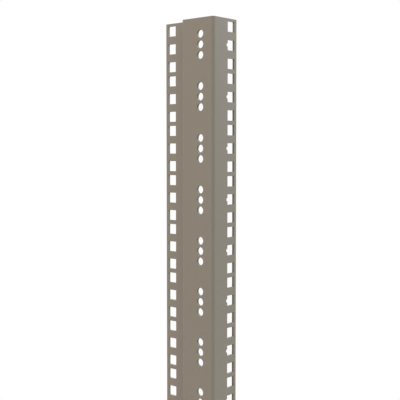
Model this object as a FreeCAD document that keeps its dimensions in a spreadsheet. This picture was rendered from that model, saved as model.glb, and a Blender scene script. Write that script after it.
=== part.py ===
import FreeCAD, Part
import os
import Sketcher

# A rack mounting rail: one strip of sheet steel folded into a flange, a web, a joggle and a
# second flange, punched at the standard pitch of a rack unit. The square holes of its lowest
# units hold captive nuts, each a loose square nut in a folded spring-steel cage.
#
# The rail stands upright on the middle of its lower end. +X is the outer face of the deep
# flange, -Y the front face of the web, and +Z runs up the rail. Lengths are in millimetres.

doc = FreeCAD.newDocument("rack_mounting_rail")

SIZES = [
    ("unit_count", 12, "rack units that the rail is tall"),
    ("unit_height", 44.45, "height of one rack unit"),
    ("unit_line_gap", 12.7, "between the last hole of a unit and the first of the next"),
    ("end_margin", 0.45, "rail left past the last unit line at each end"),
    ("sheet_thickness", 2.0, "folded steel sheet, with its coat"),
    ("bend_radius", 0.8, "inside of each fold"),
    ("rail_width", 64.5, "outer face of the deep flange to the edge of the rear flange"),
    ("rail_depth", 31.2, "front face of the web to the edge of the deep flange"),
    ("web_width", 36.5, "outer face of the deep flange to the left face of the joggle"),
    ("web_step", 10.5, "front face of the web to the front face of the rear flange"),
    ("square_hole", 9.0, "side of a square hole, with its coat"),
    ("deep_hole_edge", 7.4, "square holes' centre line to the edge of the deep flange"),
    ("rear_hole_edge", 7.0, "square holes' centre line to the edge of the rear flange"),
    ("unit_mark_radius", 1.5, "half-round notch that marks the middle hole of a unit"),
    ("web_hole", 6.9, "round hole in the web, with its coat"),
    ("web_hole_pitch", 9.0, "between the three round holes of a unit"),
    ("web_hole_line", 14.8, "round holes' centre line to the outer face of the deep flange"),
    ("filled_units", 4, "lowest units that hold captive nuts"),
    ("nut_width", 9.6, "side of the square nut"),
    ("nut_thickness", 4.8, "square nut, along its thread"),
    ("nut_corner", 0.5, "flat on each corner of the square nut"),
    ("thread_bore", 5.35, "pitch diameter of the nut's thread"),
    ("nut_float", 0.8, "how far the nut can rise in its cage"),
    ("nut_gap", 0.05, "between the nut and the tab that stops it"),
    ("nut_side_gap", 0.3, "between the nut and the cage's side walls"),
    ("cage_sheet", 0.6, "spring steel of the cage"),
    ("cage_bend", 0.35, "flat along the outside of each of the cage's folds"),
    ("cage_hole", 6.6, "screw's way out through the back of the cage"),
    ("ear_height", 8.0, "height of the cage's side walls and ears"),
    ("ear_gap", 0.15, "between an ear and the side of the square hole"),
    ("hook_reach", 1.2, "how far an ear's hook lies over the face of the flange"),
    ("hook_gap", 0.1, "between a hook and the face of the flange"),
    ("tab_width", 7.0, "the cage's upper and lower tabs"),
    ("tab_reach", 3.4, "how far the tabs reach over the nut"),
]

sheet = doc.addObject("Spreadsheet::Sheet", "Sizes")
for row, (alias, size, meaning) in enumerate(SIZES, start=1):
    sheet.set(f"A{row}", meaning)
    sheet.set(f"B{row}", str(size))
    sheet.setAlias(f"B{row}", alias)
doc.recompute()


def value(expression):
    """The number that an expression in the sheet's sizes stands for."""
    return float(sheet.evalExpression(expression))


def origin_feature(body, role):
    """A plane or an axis of the body's own origin."""
    return next(part for part in body.Origin.OriginFeatures if part.Role == role)


def new_body(name):
    body = doc.addObject("PartDesign::Body", name)
    body.Label = name
    return body


def new_sketch(body, name, plane, lift="0"):
    """A sketch on one of the body's origin planes, lifted along that plane's normal."""
    sketch = body.newObject("Sketcher::SketchObject", name)
    sketch.AttachmentSupport = (origin_feature(body, plane), [""])
    sketch.MapMode = "FlatFace"
    sketch.setExpression("AttachmentOffset.Base.z", lift)
    return sketch


def hold(sketch, kind, places, expression):
    """Constrain a sketch to the size that an expression gives."""
    index = sketch.addConstraint(Sketcher.Constraint(kind, *places, value(expression)))
    sketch.setExpression(f"Constraints[{index}]", expression)


def draw_outline(sketch, sides):
    """A closed outline of sides that lie in turn across x and across y, each at its own place."""
    count = len(sides)
    corners = []
    for number in range(count):
        across_x = sides[number] if number % 2 == 0 else sides[(number + 1) % count]
        across_y = sides[(number + 1) % count] if number % 2 == 0 else sides[number]
        corners.append(FreeCAD.Vector(value(across_x), value(across_y), 0))
    lines = []
    for number in range(count):
        side = Part.LineSegment(corners[number - 1], corners[number])
        lines.append(sketch.addGeometry(side, False))
    for number in range(count):
        following = lines[(number + 1) % count]
        sketch.addConstraint(Sketcher.Constraint("Coincident", lines[number], 2, following, 1))
        if number % 2 == 0:
            sketch.addConstraint(Sketcher.Constraint("Vertical", lines[number]))
            hold(sketch, "DistanceX", (-1, 1, lines[number], 2), sides[number])
        else:
            sketch.addConstraint(Sketcher.Constraint("Horizontal", lines[number]))
            hold(sketch, "DistanceY", (-1, 1, lines[number], 2), sides[number])


def draw_square(sketch, across, up, side):
    """A square about a centre."""
    half = f"({side}) / 2"
    draw_outline(
        sketch,
        [f"{across} - {half}", f"{up} - {half}", f"{across} + {half}", f"{up} + {half}"],
    )


def draw_circle(sketch, across, up, diameter):
    centre = FreeCAD.Vector(value(across), value(up), 0)
    upright = FreeCAD.Vector(0, 0, 1)
    circle = sketch.addGeometry(Part.Circle(centre, upright, value(diameter) / 2), False)
    hold(sketch, "DistanceX", (-1, 1, circle, 3), across)
    hold(sketch, "DistanceY", (-1, 1, circle, 3), up)
    hold(sketch, "Diameter", (circle,), diameter)


def pad(body, name, sketch, length, both_ways=False):
    feature = body.newObject("PartDesign::Pad", name)
    feature.Profile = sketch
    feature.SideType = "Symmetric" if both_ways else "One side"
    feature.setExpression("Length", length)
    doc.recompute()
    return feature


def pocket(body, name, sketch, depth):
    """A cut from the sketch into the sheet behind it."""
    before = body.Shape.Volume
    feature = body.newObject("PartDesign::Pocket", name)
    feature.Profile = sketch
    feature.setExpression("Length", depth)
    doc.recompute()
    if feature.Shape.Volume >= before:
        raise RuntimeError(f"{name} cuts nothing")
    return feature


def edges_along(feature, direction, places):
    """Names of the straight edges that run along a direction through one of the places."""
    found = []
    for number, edge in enumerate(feature.Shape.Edges, start=1):
        ends = [vertex.Point for vertex in edge.Vertexes]
        if len(ends) != 2 or (ends[1] - ends[0]).cross(direction).Length > 1e-6:
            continue
        if any((ends[0] - place).cross(direction).Length < 1e-6 for place in places):
            found.append(f"Edge{number}")
    if len(found) != len(places):
        raise RuntimeError(f"{feature.Name} has {len(found)} of {len(places)} edges")
    return found


def round_edges(body, name, base, edges, radius):
    feature = body.newObject("PartDesign::Fillet", name)
    feature.Base = (base, edges)
    feature.setExpression("Radius", radius)
    doc.recompute()
    return feature


def flatten_edges(body, name, base, edges, size):
    feature = body.newObject("PartDesign::Chamfer", name)
    feature.Base = (base, edges)
    feature.setExpression("Size", size)
    doc.recompute()
    return feature


def at_plan(across, back):
    """A point of the plan at z = 0, from two expressions."""
    return FreeCAD.Vector(value(across), value(back), 0)


# Faces of the folded sheet in plan.
OUTER_FACE = "Sizes.rail_width / 2"
INNER_FACE = f"{OUTER_FACE} - Sizes.sheet_thickness"
WALL_LEFT = f"{OUTER_FACE} - Sizes.web_width"
WALL_RIGHT = f"{WALL_LEFT} + Sizes.sheet_thickness"
REAR_EDGE = "-Sizes.rail_width / 2"
WEB_FRONT = "-Sizes.rail_depth / 2"
WEB_BACK = f"{WEB_FRONT} + Sizes.sheet_thickness"
REAR_FRONT = f"{WEB_FRONT} + Sizes.web_step"
REAR_BACK = f"{REAR_FRONT} + Sizes.sheet_thickness"
DEEP_EDGE = "Sizes.rail_depth / 2"

# Heights of the lowest unit's holes. The three square holes lie evenly about its middle.
UNIT_MIDDLE = "Sizes.end_margin + Sizes.unit_height / 2"
HOLE_PITCH = "(Sizes.unit_height - Sizes.unit_line_gap) / 2"
UNIT_HOLES = [f"{UNIT_MIDDLE} - {HOLE_PITCH}", UNIT_MIDDLE, f"{UNIT_MIDDLE} + {HOLE_PITCH}"]
DEEP_HOLE_LINE = f"{DEEP_EDGE} - Sizes.deep_hole_edge"
REAR_HOLE_LINE = f"{REAR_EDGE} + Sizes.rear_hole_edge"
THROUGH_SHEET = "Sizes.sheet_thickness * 2"


def repeat_each_unit(body, name, cuts):
    """Repeat the cuts of the lowest unit in every unit of the rail."""
    before = body.Shape.Volume
    feature = body.newObject("PartDesign::LinearPattern", name)
    feature.Originals = cuts
    feature.Direction = (origin_feature(body, "Z_Axis"), [""])
    feature.setExpression("Length", "Sizes.unit_height * (Sizes.unit_count - 1)")
    feature.setExpression("Occurrences", "Sizes.unit_count")
    body.Tip = feature
    doc.recompute()
    if body.Shape.Volume >= before:
        raise RuntimeError(f"{name} repeats nothing")


def make_rail():
    body = new_body("rail")
    along = FreeCAD.Vector(0, 0, 1)

    # The folded section, drawn with sharp corners and run up the whole rail.
    section = new_sketch(body, "rail_section", "XY_Plane")
    draw_outline(
        section,
        [
            REAR_EDGE, REAR_BACK, WALL_RIGHT, WEB_BACK, INNER_FACE,
            DEEP_EDGE, OUTER_FACE, WEB_FRONT, WALL_LEFT, REAR_FRONT,
        ],
    )
    strip = pad(
        body,
        "rail_strip",
        section,
        "Sizes.unit_height * Sizes.unit_count + 2 * Sizes.end_margin",
    )

    # The three folds: tight inside, and a sheet's thickness wider outside.
    inside = [
        at_plan(INNER_FACE, WEB_BACK),
        at_plan(WALL_RIGHT, WEB_BACK),
        at_plan(WALL_LEFT, REAR_FRONT),
    ]
    outside = [
        at_plan(OUTER_FACE, WEB_FRONT),
        at_plan(WALL_LEFT, WEB_FRONT),
        at_plan(WALL_RIGHT, REAR_BACK),
    ]
    tight = round_edges(
        body, "rail_inside_bends", strip, edges_along(strip, along, inside), "Sizes.bend_radius"
    )
    round_edges(
        body,
        "rail_outside_bends",
        tight,
        edges_along(tight, along, outside),
        "Sizes.bend_radius + Sizes.sheet_thickness",
    )

    # Square holes of the deep flange, with a half-round notch on the middle one of each unit.
    squares = new_sketch(body, "deep_flange_holes", "YZ_Plane", OUTER_FACE)
    for height in UNIT_HOLES:
        draw_square(squares, DEEP_HOLE_LINE, height, "Sizes.square_hole")
    square_cut = pocket(body, "deep_flange_punch", squares, THROUGH_SHEET)
    mark = new_sketch(body, "unit_mark", "YZ_Plane", OUTER_FACE)
    draw_circle(
        mark,
        f"{DEEP_HOLE_LINE} - Sizes.square_hole / 2",
        UNIT_MIDDLE,
        "2 * Sizes.unit_mark_radius",
    )
    mark_cut = pocket(body, "unit_mark_punch", mark, THROUGH_SHEET)
    repeat_each_unit(body, "deep_flange_units", [square_cut, mark_cut])

    # Square holes of the rear flange, at the same heights.
    squares = new_sketch(body, "rear_flange_holes", "XZ_Plane", f"-({REAR_FRONT})")
    for height in UNIT_HOLES:
        draw_square(squares, REAR_HOLE_LINE, height, "Sizes.square_hole")
    square_cut = pocket(body, "rear_flange_punch", squares, THROUGH_SHEET)
    repeat_each_unit(body, "rear_flange_units", [square_cut])

    # Three round holes in the web, about the middle of each unit.
    rounds = new_sketch(body, "web_holes", "XZ_Plane", f"-({WEB_FRONT})")
    for place in (-1, 0, 1):
        draw_circle(
            rounds,
            f"{OUTER_FACE} - Sizes.web_hole_line",
            f"{UNIT_MIDDLE} + {place} * Sizes.web_hole_pitch",
            "Sizes.web_hole",
        )
    round_cut = pocket(body, "web_punch", rounds, THROUGH_SHEET)
    repeat_each_unit(body, "web_units", [round_cut])
    return body


# Faces of a captive nut, from the centre of its square hole on the outer face of the flange.
# x points out of the face, y across the flange.
HOOK_BACK = "Sizes.hook_gap"
HOOK_FRONT = f"{HOOK_BACK} + Sizes.cage_sheet"
FLAP_FRONT = "-Sizes.sheet_thickness"
FLAP_BACK = f"{FLAP_FRONT} - Sizes.cage_sheet"
NUT_FRONT = f"{FLAP_BACK} - Sizes.nut_gap"
NUT_BACK = f"{NUT_FRONT} - Sizes.nut_thickness"
PLATE_FRONT = f"{NUT_BACK} - Sizes.nut_gap"
PLATE_BACK = f"{PLATE_FRONT} - Sizes.cage_sheet"
EAR_OUTER = "(Sizes.square_hole / 2 - Sizes.ear_gap)"
EAR_INNER = f"({EAR_OUTER} - Sizes.cage_sheet)"
HOOK_TIP = f"({EAR_OUTER} + Sizes.hook_reach)"
SIDE_INNER = "(Sizes.nut_width / 2 + Sizes.nut_side_gap)"
SIDE_OUTER = f"({SIDE_INNER} + Sizes.cage_sheet)"
TAB_INNER = "(Sizes.nut_width / 2 + Sizes.nut_float / 2 + Sizes.nut_gap)"
TAB_OUTER = f"({TAB_INNER} + Sizes.cage_sheet)"
TAB_TIP = f"{PLATE_FRONT} + Sizes.tab_reach"


def seat(body, height):
    """Put a captive nut's piece at the square hole of the deep flange at a height."""
    body.setExpression("Placement.Base.x", OUTER_FACE)
    body.setExpression("Placement.Base.y", DEEP_HOLE_LINE)
    body.setExpression("Placement.Base.z", height)


def make_cage(name, height):
    """A spring cage: back plate, side walls, flaps behind the flange, ears through its hole."""
    body = new_body(name)
    along = FreeCAD.Vector(0, 0, 1)
    strip_plan = new_sketch(body, f"{name}_strip_plan", "XY_Plane")
    draw_outline(
        strip_plan,
        [
            PLATE_BACK, SIDE_OUTER, FLAP_FRONT, EAR_OUTER, HOOK_BACK,
            HOOK_TIP, HOOK_FRONT, EAR_INNER, FLAP_BACK, SIDE_INNER,
            PLATE_FRONT, f"-{SIDE_INNER}", FLAP_BACK, f"-{EAR_INNER}", HOOK_FRONT,
            f"-{HOOK_TIP}", HOOK_BACK, f"-{EAR_OUTER}", FLAP_FRONT, f"-{SIDE_OUTER}",
        ],
    )
    strip = pad(body, f"{name}_strip", strip_plan, "Sizes.ear_height", both_ways=True)
    folds = [
        at_plan(across, back)
        for across, outer in (
            (PLATE_BACK, SIDE_OUTER),
            (FLAP_FRONT, SIDE_OUTER),
            (FLAP_BACK, EAR_INNER),
            (HOOK_FRONT, EAR_INNER),
        )
        for back in (outer, f"-{outer}")
    ]
    flatten_edges(
        body, f"{name}_folds", strip, edges_along(strip, along, folds), "Sizes.cage_bend"
    )

    # Upper and lower tabs, folded forward from the back plate to stop the nut.
    tab_side = new_sketch(body, f"{name}_tab_side", "XZ_Plane")
    draw_outline(
        tab_side,
        [
            PLATE_BACK, TAB_OUTER, TAB_TIP, TAB_INNER,
            PLATE_FRONT, f"-{TAB_INNER}", TAB_TIP, f"-{TAB_OUTER}",
        ],
    )
    tabs = pad(body, f"{name}_tabs", tab_side, "Sizes.tab_width", both_ways=True)
    across = FreeCAD.Vector(0, 1, 0)
    tab_folds = [
        FreeCAD.Vector(value(PLATE_BACK), 0, value(f"{side}{TAB_OUTER}")) for side in ("", "-")
    ]
    flatten_edges(
        body, f"{name}_tab_folds", tabs, edges_along(tabs, across, tab_folds), "Sizes.cage_bend"
    )

    # The screw's way out through the back plate.
    screw_way = new_sketch(body, f"{name}_screw_way", "YZ_Plane", PLATE_FRONT)
    draw_circle(screw_way, "0", "0", "Sizes.cage_hole")
    pocket(body, f"{name}_screw_punch", screw_way, "Sizes.cage_sheet * 2")
    seat(body, height)
    return body


def make_nut(name, height):
    """A square nut with flat corners and a bore for its thread, resting on its cage's lower tab."""
    body = new_body(name)
    square = new_sketch(body, f"{name}_square", "YZ_Plane", NUT_BACK)
    draw_square(square, "0", "0", "Sizes.nut_width")
    block = pad(body, f"{name}_block", square, "Sizes.nut_thickness")
    half = value("Sizes.nut_width / 2")
    corners = [FreeCAD.Vector(0, across, up) for across in (-half, half) for up in (-half, half)]
    out = FreeCAD.Vector(1, 0, 0)
    flatten_edges(
        body, f"{name}_corners", block, edges_along(block, out, corners), "Sizes.nut_corner"
    )
    bore = new_sketch(body, f"{name}_bore_circle", "YZ_Plane", NUT_FRONT)
    draw_circle(bore, "0", "0", "Sizes.thread_bore")
    pocket(body, f"{name}_bore", bore, "Sizes.nut_thickness")
    seat(body, f"{height} - Sizes.nut_float / 2")
    return body


pieces = [make_rail()]
for unit in range(round(value("Sizes.filled_units"))):
    for place, hole in (("lower", UNIT_HOLES[0]), ("upper", UNIT_HOLES[-1])):
        hole_height = f"{hole} + {unit} * Sizes.unit_height"
        pieces.append(make_cage(f"cage_u{unit + 1}_{place}", hole_height))
        pieces.append(make_nut(f"nut_u{unit + 1}_{place}", hole_height))
doc.recompute()

for item in doc.Objects:
    if "Invalid" in item.State or "Error" in item.State:
        raise RuntimeError(f"{item.Label} failed: {item.State}")
for piece in pieces:
    if piece.Shape.isNull() or not piece.Shape.isValid() or len(piece.Shape.Solids) != 1:
        raise RuntimeError(f"{piece.Label} is not one sound solid")

os.makedirs("parts", exist_ok=True)
for piece in pieces:
    piece.Shape.exportStep(os.path.join("parts", f"{piece.Label}.step"))
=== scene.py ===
import math

import bpy
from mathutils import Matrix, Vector


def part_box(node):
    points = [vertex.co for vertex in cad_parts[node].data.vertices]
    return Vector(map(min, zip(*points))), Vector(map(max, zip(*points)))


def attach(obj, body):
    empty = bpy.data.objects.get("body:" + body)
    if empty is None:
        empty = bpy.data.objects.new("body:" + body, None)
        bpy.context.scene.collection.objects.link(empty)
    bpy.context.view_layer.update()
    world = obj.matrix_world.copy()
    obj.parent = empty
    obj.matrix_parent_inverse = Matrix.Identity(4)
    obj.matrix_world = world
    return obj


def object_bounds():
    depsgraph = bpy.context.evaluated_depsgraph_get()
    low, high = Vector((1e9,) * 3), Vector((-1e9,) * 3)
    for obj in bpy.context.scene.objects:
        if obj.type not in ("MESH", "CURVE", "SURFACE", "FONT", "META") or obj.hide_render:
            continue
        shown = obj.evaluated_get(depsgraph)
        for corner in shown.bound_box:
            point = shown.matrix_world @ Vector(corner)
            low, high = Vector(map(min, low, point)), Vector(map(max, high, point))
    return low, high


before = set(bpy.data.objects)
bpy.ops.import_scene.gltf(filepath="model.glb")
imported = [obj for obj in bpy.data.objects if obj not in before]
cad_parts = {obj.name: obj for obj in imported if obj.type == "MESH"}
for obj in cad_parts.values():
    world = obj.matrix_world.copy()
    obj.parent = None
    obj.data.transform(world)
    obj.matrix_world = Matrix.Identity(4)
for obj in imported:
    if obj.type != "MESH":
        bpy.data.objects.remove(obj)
cad_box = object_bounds()

# Rail
# One strip of 2 mm sheet steel, folded into a deep flange, a web, a joggle and a rear flange.
# It is punched on a press, folded, and then powder-coated all over in a fine-textured taupe.

# Blender's unit is the metre.
MM = 0.001
COAT_LIGHT = "#968e80"
COAT_DARK = "#8a8274"
COAT_TONE_LIFT = 0.25
COAT_CLOUD = 70 * MM
COAT_CLOUD_DETAIL = 3.0
COAT_GRAIN = 1.4 * MM
COAT_GRAIN_DETAIL = 2.0
COAT_PEBBLE_DEPTH = 0.05 * MM
COAT_PEBBLE_STRENGTH = 0.35
COAT_SMOOTHEST = 0.5
COAT_DULLEST = 0.66
COAT_IOR = 1.5


def linear(hex_colour):
    """The linear colour of an sRGB hex value, with full alpha."""
    shares = [int(hex_colour[start:start + 2], 16) / 255 for start in (1, 3, 5)]
    return (*[s / 12.92 if s <= 0.04045 else ((s + 0.055) / 1.055) ** 2.4 for s in shares], 1.0)


def add_node(tree, kind, inputs, **settings):
    """A node with its settings, whose sockets get a value or another node's output."""
    node = tree.nodes.new(kind)
    for name, setting in settings.items():
        setattr(node, name, setting)
    for socket, given in inputs.items():
        if isinstance(given, bpy.types.NodeSocket):
            tree.links.new(given, node.inputs[socket])
        else:
            node.inputs[socket].default_value = given
    return node


def new_material(name):
    """A material with an empty node tree, and that tree."""
    material = bpy.data.materials.new(name)
    material.use_nodes = True
    material.node_tree.nodes.clear()
    return material, material.node_tree


def dress(piece, material):
    """Give a CAD piece one material in all its slots."""
    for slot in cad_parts[piece].material_slots:
        slot.material = material


# Polyester powder, sprayed and baked: a dull skin with a fine pebble and a faint cloudiness. The
# real pebble is about 0.4 mm wide, and is drawn 1.4 mm wide so that it still shows in the render.
# The scale of a pattern is one over the size of its features.
powder_coat, tree = new_material("powder_coat_taupe")
place = add_node(tree, "ShaderNodeTexCoord", {}).outputs["Object"]
cloud = add_node(
    tree,
    "ShaderNodeTexNoise",
    {"Vector": place, "Scale": 1 / COAT_CLOUD, "Detail": COAT_CLOUD_DETAIL},
)
grain = add_node(
    tree,
    "ShaderNodeTexNoise",
    {"Vector": place, "Scale": 1 / COAT_GRAIN, "Detail": COAT_GRAIN_DETAIL},
)
# Cloud times grain is about a quarter, and the lift brings it midway between the two colours.
speckle = add_node(
    tree,
    "ShaderNodeMath",
    {0: cloud.outputs["Fac"], 1: grain.outputs["Fac"], 2: COAT_TONE_LIFT},
    operation="MULTIPLY_ADD",
)
# In a colour mix, socket 0 is the factor, 6 and 7 are the two colours, and output 2 is the result.
tone = add_node(
    tree,
    "ShaderNodeMix",
    {0: speckle.outputs[0], 6: linear(COAT_DARK), 7: linear(COAT_LIGHT)},
    data_type="RGBA",
)
dullness = add_node(
    tree,
    "ShaderNodeMapRange",
    {"Value": grain.outputs["Fac"], "To Min": COAT_SMOOTHEST, "To Max": COAT_DULLEST},
)
pebble = add_node(
    tree,
    "ShaderNodeBump",
    {
        "Height": grain.outputs["Fac"],
        "Strength": COAT_PEBBLE_STRENGTH,
        "Distance": COAT_PEBBLE_DEPTH,
    },
)
coat = add_node(
    tree,
    "ShaderNodeBsdfPrincipled",
    {
        "Base Color": tone.outputs[2],
        "Roughness": dullness.outputs[0],
        "IOR": COAT_IOR,
        "Normal": pebble.outputs[0],
    },
)
add_node(tree, "ShaderNodeOutputMaterial", {"Surface": coat.outputs[0]})
dress("rail", powder_coat)

# Captive nut cages
# Eight cages folded from 0.6 mm spring steel and zinc-plated, two in each of the four lowest units.
# Their ears go through a square hole and hook over the deep flange's outer face.

CAGE_LIGHT = "#c3c4c2"
CAGE_DARK = "#8f918f"
CAGE_STREAK = 2.5 * MM
CAGE_STREAK_STRETCH = (1.0, 1.0, 0.2)
CAGE_STREAK_DETAIL = 4.0
CAGE_SMOOTHEST = 0.28
CAGE_DULLEST = 0.45


def plate_with_zinc(tree, pattern, dark, light, smoothest, dullest):
    """Make a material zinc plate, whose tone and dullness both follow one pattern."""
    tone = add_node(
        tree, "ShaderNodeMix", {0: pattern, 6: linear(dark), 7: linear(light)}, data_type="RGBA"
    )
    dullness = add_node(
        tree, "ShaderNodeMapRange", {"Value": pattern, "To Min": smoothest, "To Max": dullest}
    )
    plate = add_node(
        tree,
        "ShaderNodeBsdfPrincipled",
        {"Base Color": tone.outputs[2], "Roughness": dullness.outputs[0], "Metallic": 1.0},
    )
    add_node(tree, "ShaderNodeOutputMaterial", {"Surface": plate.outputs[0]})


# Plating over rolled strip: the mill's rolling marks run up the strip and show as soft streaks.
spring_steel, tree = new_material("zinc_plated_spring_steel")
place = add_node(tree, "ShaderNodeTexCoord", {}).outputs["Object"]
stretched = add_node(tree, "ShaderNodeMapping", {"Vector": place, "Scale": CAGE_STREAK_STRETCH})
streak = add_node(
    tree,
    "ShaderNodeTexNoise",
    {"Vector": stretched.outputs[0], "Scale": 1 / CAGE_STREAK, "Detail": CAGE_STREAK_DETAIL},
)
plate_with_zinc(tree, streak.outputs["Fac"], CAGE_DARK, CAGE_LIGHT, CAGE_SMOOTHEST, CAGE_DULLEST)
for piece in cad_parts:
    if piece.startswith("cage_"):
        dress(piece, spring_steel)

# Square nuts
# Eight M6 square nuts, pressed from mild steel and bright zinc-plated, loose in their cages.
# Each one has a coarse thread, cut by a tap, with one ridge to every millimetre of its bore.

NUT_LIGHT = "#d5d8da"
NUT_DARK = "#a9adb0"
NUT_MOTTLE = 1.6 * MM
NUT_MOTTLE_DETAIL = 3.0
NUT_SMOOTHEST = 0.22
NUT_DULLEST = 0.38
BORE_RADIUS = 2.675 * MM
CREST_RADIUS = 2.46 * MM
THREAD_PITCH = 1.0 * MM
THREAD_TURNS = 4
THREAD_STEPS = 28
THREAD_WELD = 0.0001 * MM
THREAD_SMOOTH_ANGLE = math.radians(30)
RIDGE_SINK = 0.03 * MM
RIDGE_WIDTH = THREAD_PITCH / 2
RIDGE_CORNERS = 4
CREST_SHARE = 0.5
QUARTER_TURN = math.radians(90)


def pick(piece):
    """Select one object alone and make it the active one."""
    bpy.ops.object.select_all(action="DESELECT")
    piece.select_set(True)
    bpy.context.view_layer.objects.active = piece


# Barrel plating leaves a bright skin with a fine crystalline mottle.
bright_zinc, tree = new_material("bright_zinc_on_steel")
place = add_node(tree, "ShaderNodeTexCoord", {}).outputs["Object"]
mottle = add_node(
    tree,
    "ShaderNodeTexNoise",
    {"Vector": place, "Scale": 1 / NUT_MOTTLE, "Detail": NUT_MOTTLE_DETAIL},
)
plate_with_zinc(tree, mottle.outputs["Fac"], NUT_DARK, NUT_LIGHT, NUT_SMOOTHEST, NUT_DULLEST)

# The bore is as wide as the thread's pitch diameter, so the ridge's inner half stands out of it,
# and its foot is sunk a little into the steel. Its section is drawn upright beside the axis,
# narrowed at the crest, and screwed up the bore.
ridge_depth = BORE_RADIUS + RIDGE_SINK - CREST_RADIUS
ridge_middle = CREST_RADIUS + ridge_depth / 2
ridge_start = -THREAD_PITCH * THREAD_TURNS / 2
bpy.ops.object.select_all(action="DESELECT")
bpy.ops.mesh.primitive_plane_add(
    size=1, location=(ridge_middle, 0, ridge_start), rotation=(QUARTER_TURN, 0, 0)
)
first_thread = bpy.context.object
first_thread.scale = (ridge_depth, RIDGE_WIDTH, 1)
bpy.ops.object.transform_apply(location=True, rotation=True, scale=True)
section = first_thread.data
for corner in section.vertices:
    corner.select = corner.co.x < ridge_middle
for side in section.edges:
    side.select = all(section.vertices[end].select for end in side.vertices)
for face in section.polygons:
    face.select = False
bpy.ops.object.mode_set(mode="EDIT")
bpy.ops.transform.resize(
    value=(1, 1, CREST_SHARE), center_override=(CREST_RADIUS, 0, ridge_start)
)
bpy.ops.object.mode_set(mode="OBJECT")
climb = first_thread.modifiers.new("climb", "SCREW")
climb.axis = "Z"
climb.angle = math.tau
climb.screw_offset = THREAD_PITCH
climb.iterations = THREAD_TURNS
climb.steps = THREAD_STEPS
climb.render_steps = THREAD_STEPS
bpy.ops.object.modifier_apply(modifier="climb")
bpy.ops.object.mode_set(mode="EDIT")
bpy.ops.mesh.select_all(action="SELECT")
bpy.ops.mesh.remove_doubles(threshold=THREAD_WELD)
bpy.ops.mesh.fill_holes(sides=RIDGE_CORNERS)
bpy.ops.mesh.normals_make_consistent(inside=False)
bpy.ops.object.mode_set(mode="OBJECT")
first_thread.rotation_euler = (0, QUARTER_TURN, 0)
bpy.ops.object.transform_apply(rotation=True)
bpy.ops.object.shade_smooth_by_angle(angle=THREAD_SMOOTH_ANGLE)
first_thread.data.materials.append(bright_zinc)

nuts = [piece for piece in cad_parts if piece.startswith("nut_")]
threads = [first_thread]
while len(threads) < len(nuts):
    pick(first_thread)
    bpy.ops.object.duplicate(linked=False)
    threads.append(bpy.context.object)
for nut, thread in zip(nuts, threads):
    dress(nut, bright_zinc)
    low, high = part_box(nut)
    thread.name = nut.replace("nut_", "thread_")
    thread.location = (Vector(low) + Vector(high)) / 2
    pick(thread)
    bpy.ops.object.transform_apply(location=True)
    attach(thread, nut)

# Floor
# A disc of warm white card under the rail, which fades into the white surround at its rim.
# It is lit like the rail, so it keeps the rail's shadow.

FLOOR_RADIUS = 600 * MM
FLOOR_SOLID = 350 * MM
FLOOR_SIDES = 96
FLOOR_CARD = "#e4e1dc"

bpy.ops.object.select_all(action="DESELECT")
bpy.ops.mesh.primitive_circle_add(
    vertices=FLOOR_SIDES, radius=FLOOR_RADIUS, fill_type="NGON", location=(0, 0, cad_box[0].z)
)
floor = bpy.context.object
floor.name = "floor"
white_card, tree = new_material("warm_white_card")
place = add_node(tree, "ShaderNodeTexCoord", {}).outputs["Object"]
reach = add_node(tree, "ShaderNodeVectorMath", {0: place}, operation="LENGTH")
fade = add_node(
    tree,
    "ShaderNodeMapRange",
    {"Value": reach.outputs["Value"], "From Min": FLOOR_SOLID, "From Max": FLOOR_RADIUS},
    interpolation_type="SMOOTHSTEP",
)
card = add_node(tree, "ShaderNodeBsdfDiffuse", {"Color": linear(FLOOR_CARD)})
clear = add_node(tree, "ShaderNodeBsdfTransparent", {})
blend = add_node(
    tree, "ShaderNodeMixShader", {0: fade.outputs[0], 1: card.outputs[0], 2: clear.outputs[0]}
)
add_node(tree, "ShaderNodeOutputMaterial", {"Surface": blend.outputs[0]})
floor.data.materials.append(white_card)

# Light
# A large warm soft box stands to the left, a plain one above the camera, and a cool one behind to
# the right, so that the fold towards the camera stays darker than the faces beside it. Two plain
# boxes behind reach into the channel, and the white surround fills in the rest.

SURROUND_SEEN = 1.0
SURROUND_SHED = 0.3
LAMP_AIM = Vector((0, 0, 0.35))
LAMP_DISTANCE = 1.7
LAMPS = [
    # name, degrees round from the web's front, degrees up, width and height in metres, watts, tint
    ("warm_box_left", -34, 15, 1.5, 1.2, 9.7, "#fff2e5"),
    ("box_above_camera", 44, 50, 0.9, 0.9, 9.0, "#ffffff"),
    ("cool_box_right", 140, 45, 1.1, 1.1, 21.8, "#e6f1ff"),
    ("box_behind", 185, 30, 1.1, 1.1, 10.0, "#ffffff"),
    ("box_behind_left", 235, 25, 1.1, 1.1, 8.0, "#ffffff"),
]

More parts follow.
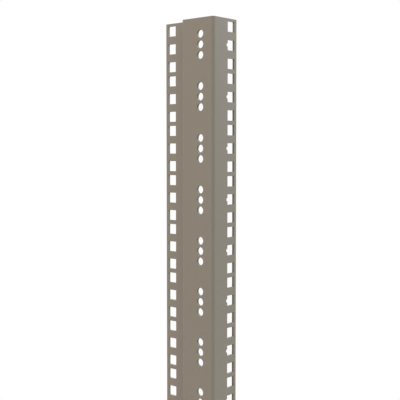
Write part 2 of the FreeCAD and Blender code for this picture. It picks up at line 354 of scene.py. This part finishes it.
# The surround is pure white where it is seen, directly or in a reflection or through glass, and
# dimmer where it only sheds light.
surround = bpy.data.worlds.new("white_surround")
surround.use_nodes = True
tree = surround.node_tree
tree.nodes.clear()
rays = add_node(tree, "ShaderNodeLightPath", {}).outputs
mirrored = add_node(
    tree,
    "ShaderNodeMath",
    {0: rays["Is Glossy Ray"], 1: rays["Is Transmission Ray"]},
    operation="MAXIMUM",
)
seen = add_node(
    tree,
    "ShaderNodeMath",
    {0: rays["Is Camera Ray"], 1: mirrored.outputs[0]},
    operation="MAXIMUM",
)
strength = add_node(
    tree,
    "ShaderNodeMapRange",
    {"Value": seen.outputs[0], "To Min": SURROUND_SHED, "To Max": SURROUND_SEEN},
)
white = add_node(
    tree, "ShaderNodeBackground", {"Color": (1, 1, 1, 1), "Strength": strength.outputs[0]}
)
add_node(tree, "ShaderNodeOutputWorld", {"Surface": white.outputs[0]})
bpy.context.scene.world = surround

for name, azimuth, elevation, width, height, watts, tint in LAMPS:
    turn = math.radians(azimuth)
    lift = math.radians(elevation)
    way = Vector(
        (math.sin(turn) * math.cos(lift), -math.cos(turn) * math.cos(lift), math.sin(lift))
    )
    bpy.ops.object.light_add(type="AREA", location=LAMP_AIM + way * LAMP_DISTANCE)
    lamp = bpy.context.object
    lamp.name = name
    lamp.rotation_euler = (-way).to_track_quat("-Z", "Y").to_euler()
    lamp.data.shape = "RECTANGLE"
    lamp.data.size = width
    lamp.data.size_y = height
    lamp.data.energy = watts
    lamp.data.color = linear(tint)[:3]

# Camera
# A 75 mm lens on a 36 mm wide frame, a little above the middle of the rail's upper half and
# tipped slightly down, looking at the fold between the web and the deep flange.

CAMERA_PLACE = (0.48969, -0.55464, 0.42113)
CAMERA_TURN = math.radians(41.225)
CAMERA_TIP = math.radians(3.424)
CAMERA_LENS_MM = 74.77
CAMERA_FRAME_MM = 36

bpy.ops.object.camera_add(location=CAMERA_PLACE)
camera = bpy.context.object
camera.name = "camera"
camera.rotation_euler = (QUARTER_TURN - CAMERA_TIP, 0, CAMERA_TURN)
camera.data.sensor_width = CAMERA_FRAME_MM
camera.data.lens = CAMERA_LENS_MM
bpy.context.scene.camera = camera
bpy.context.scene.view_settings.view_transform = "Standard"
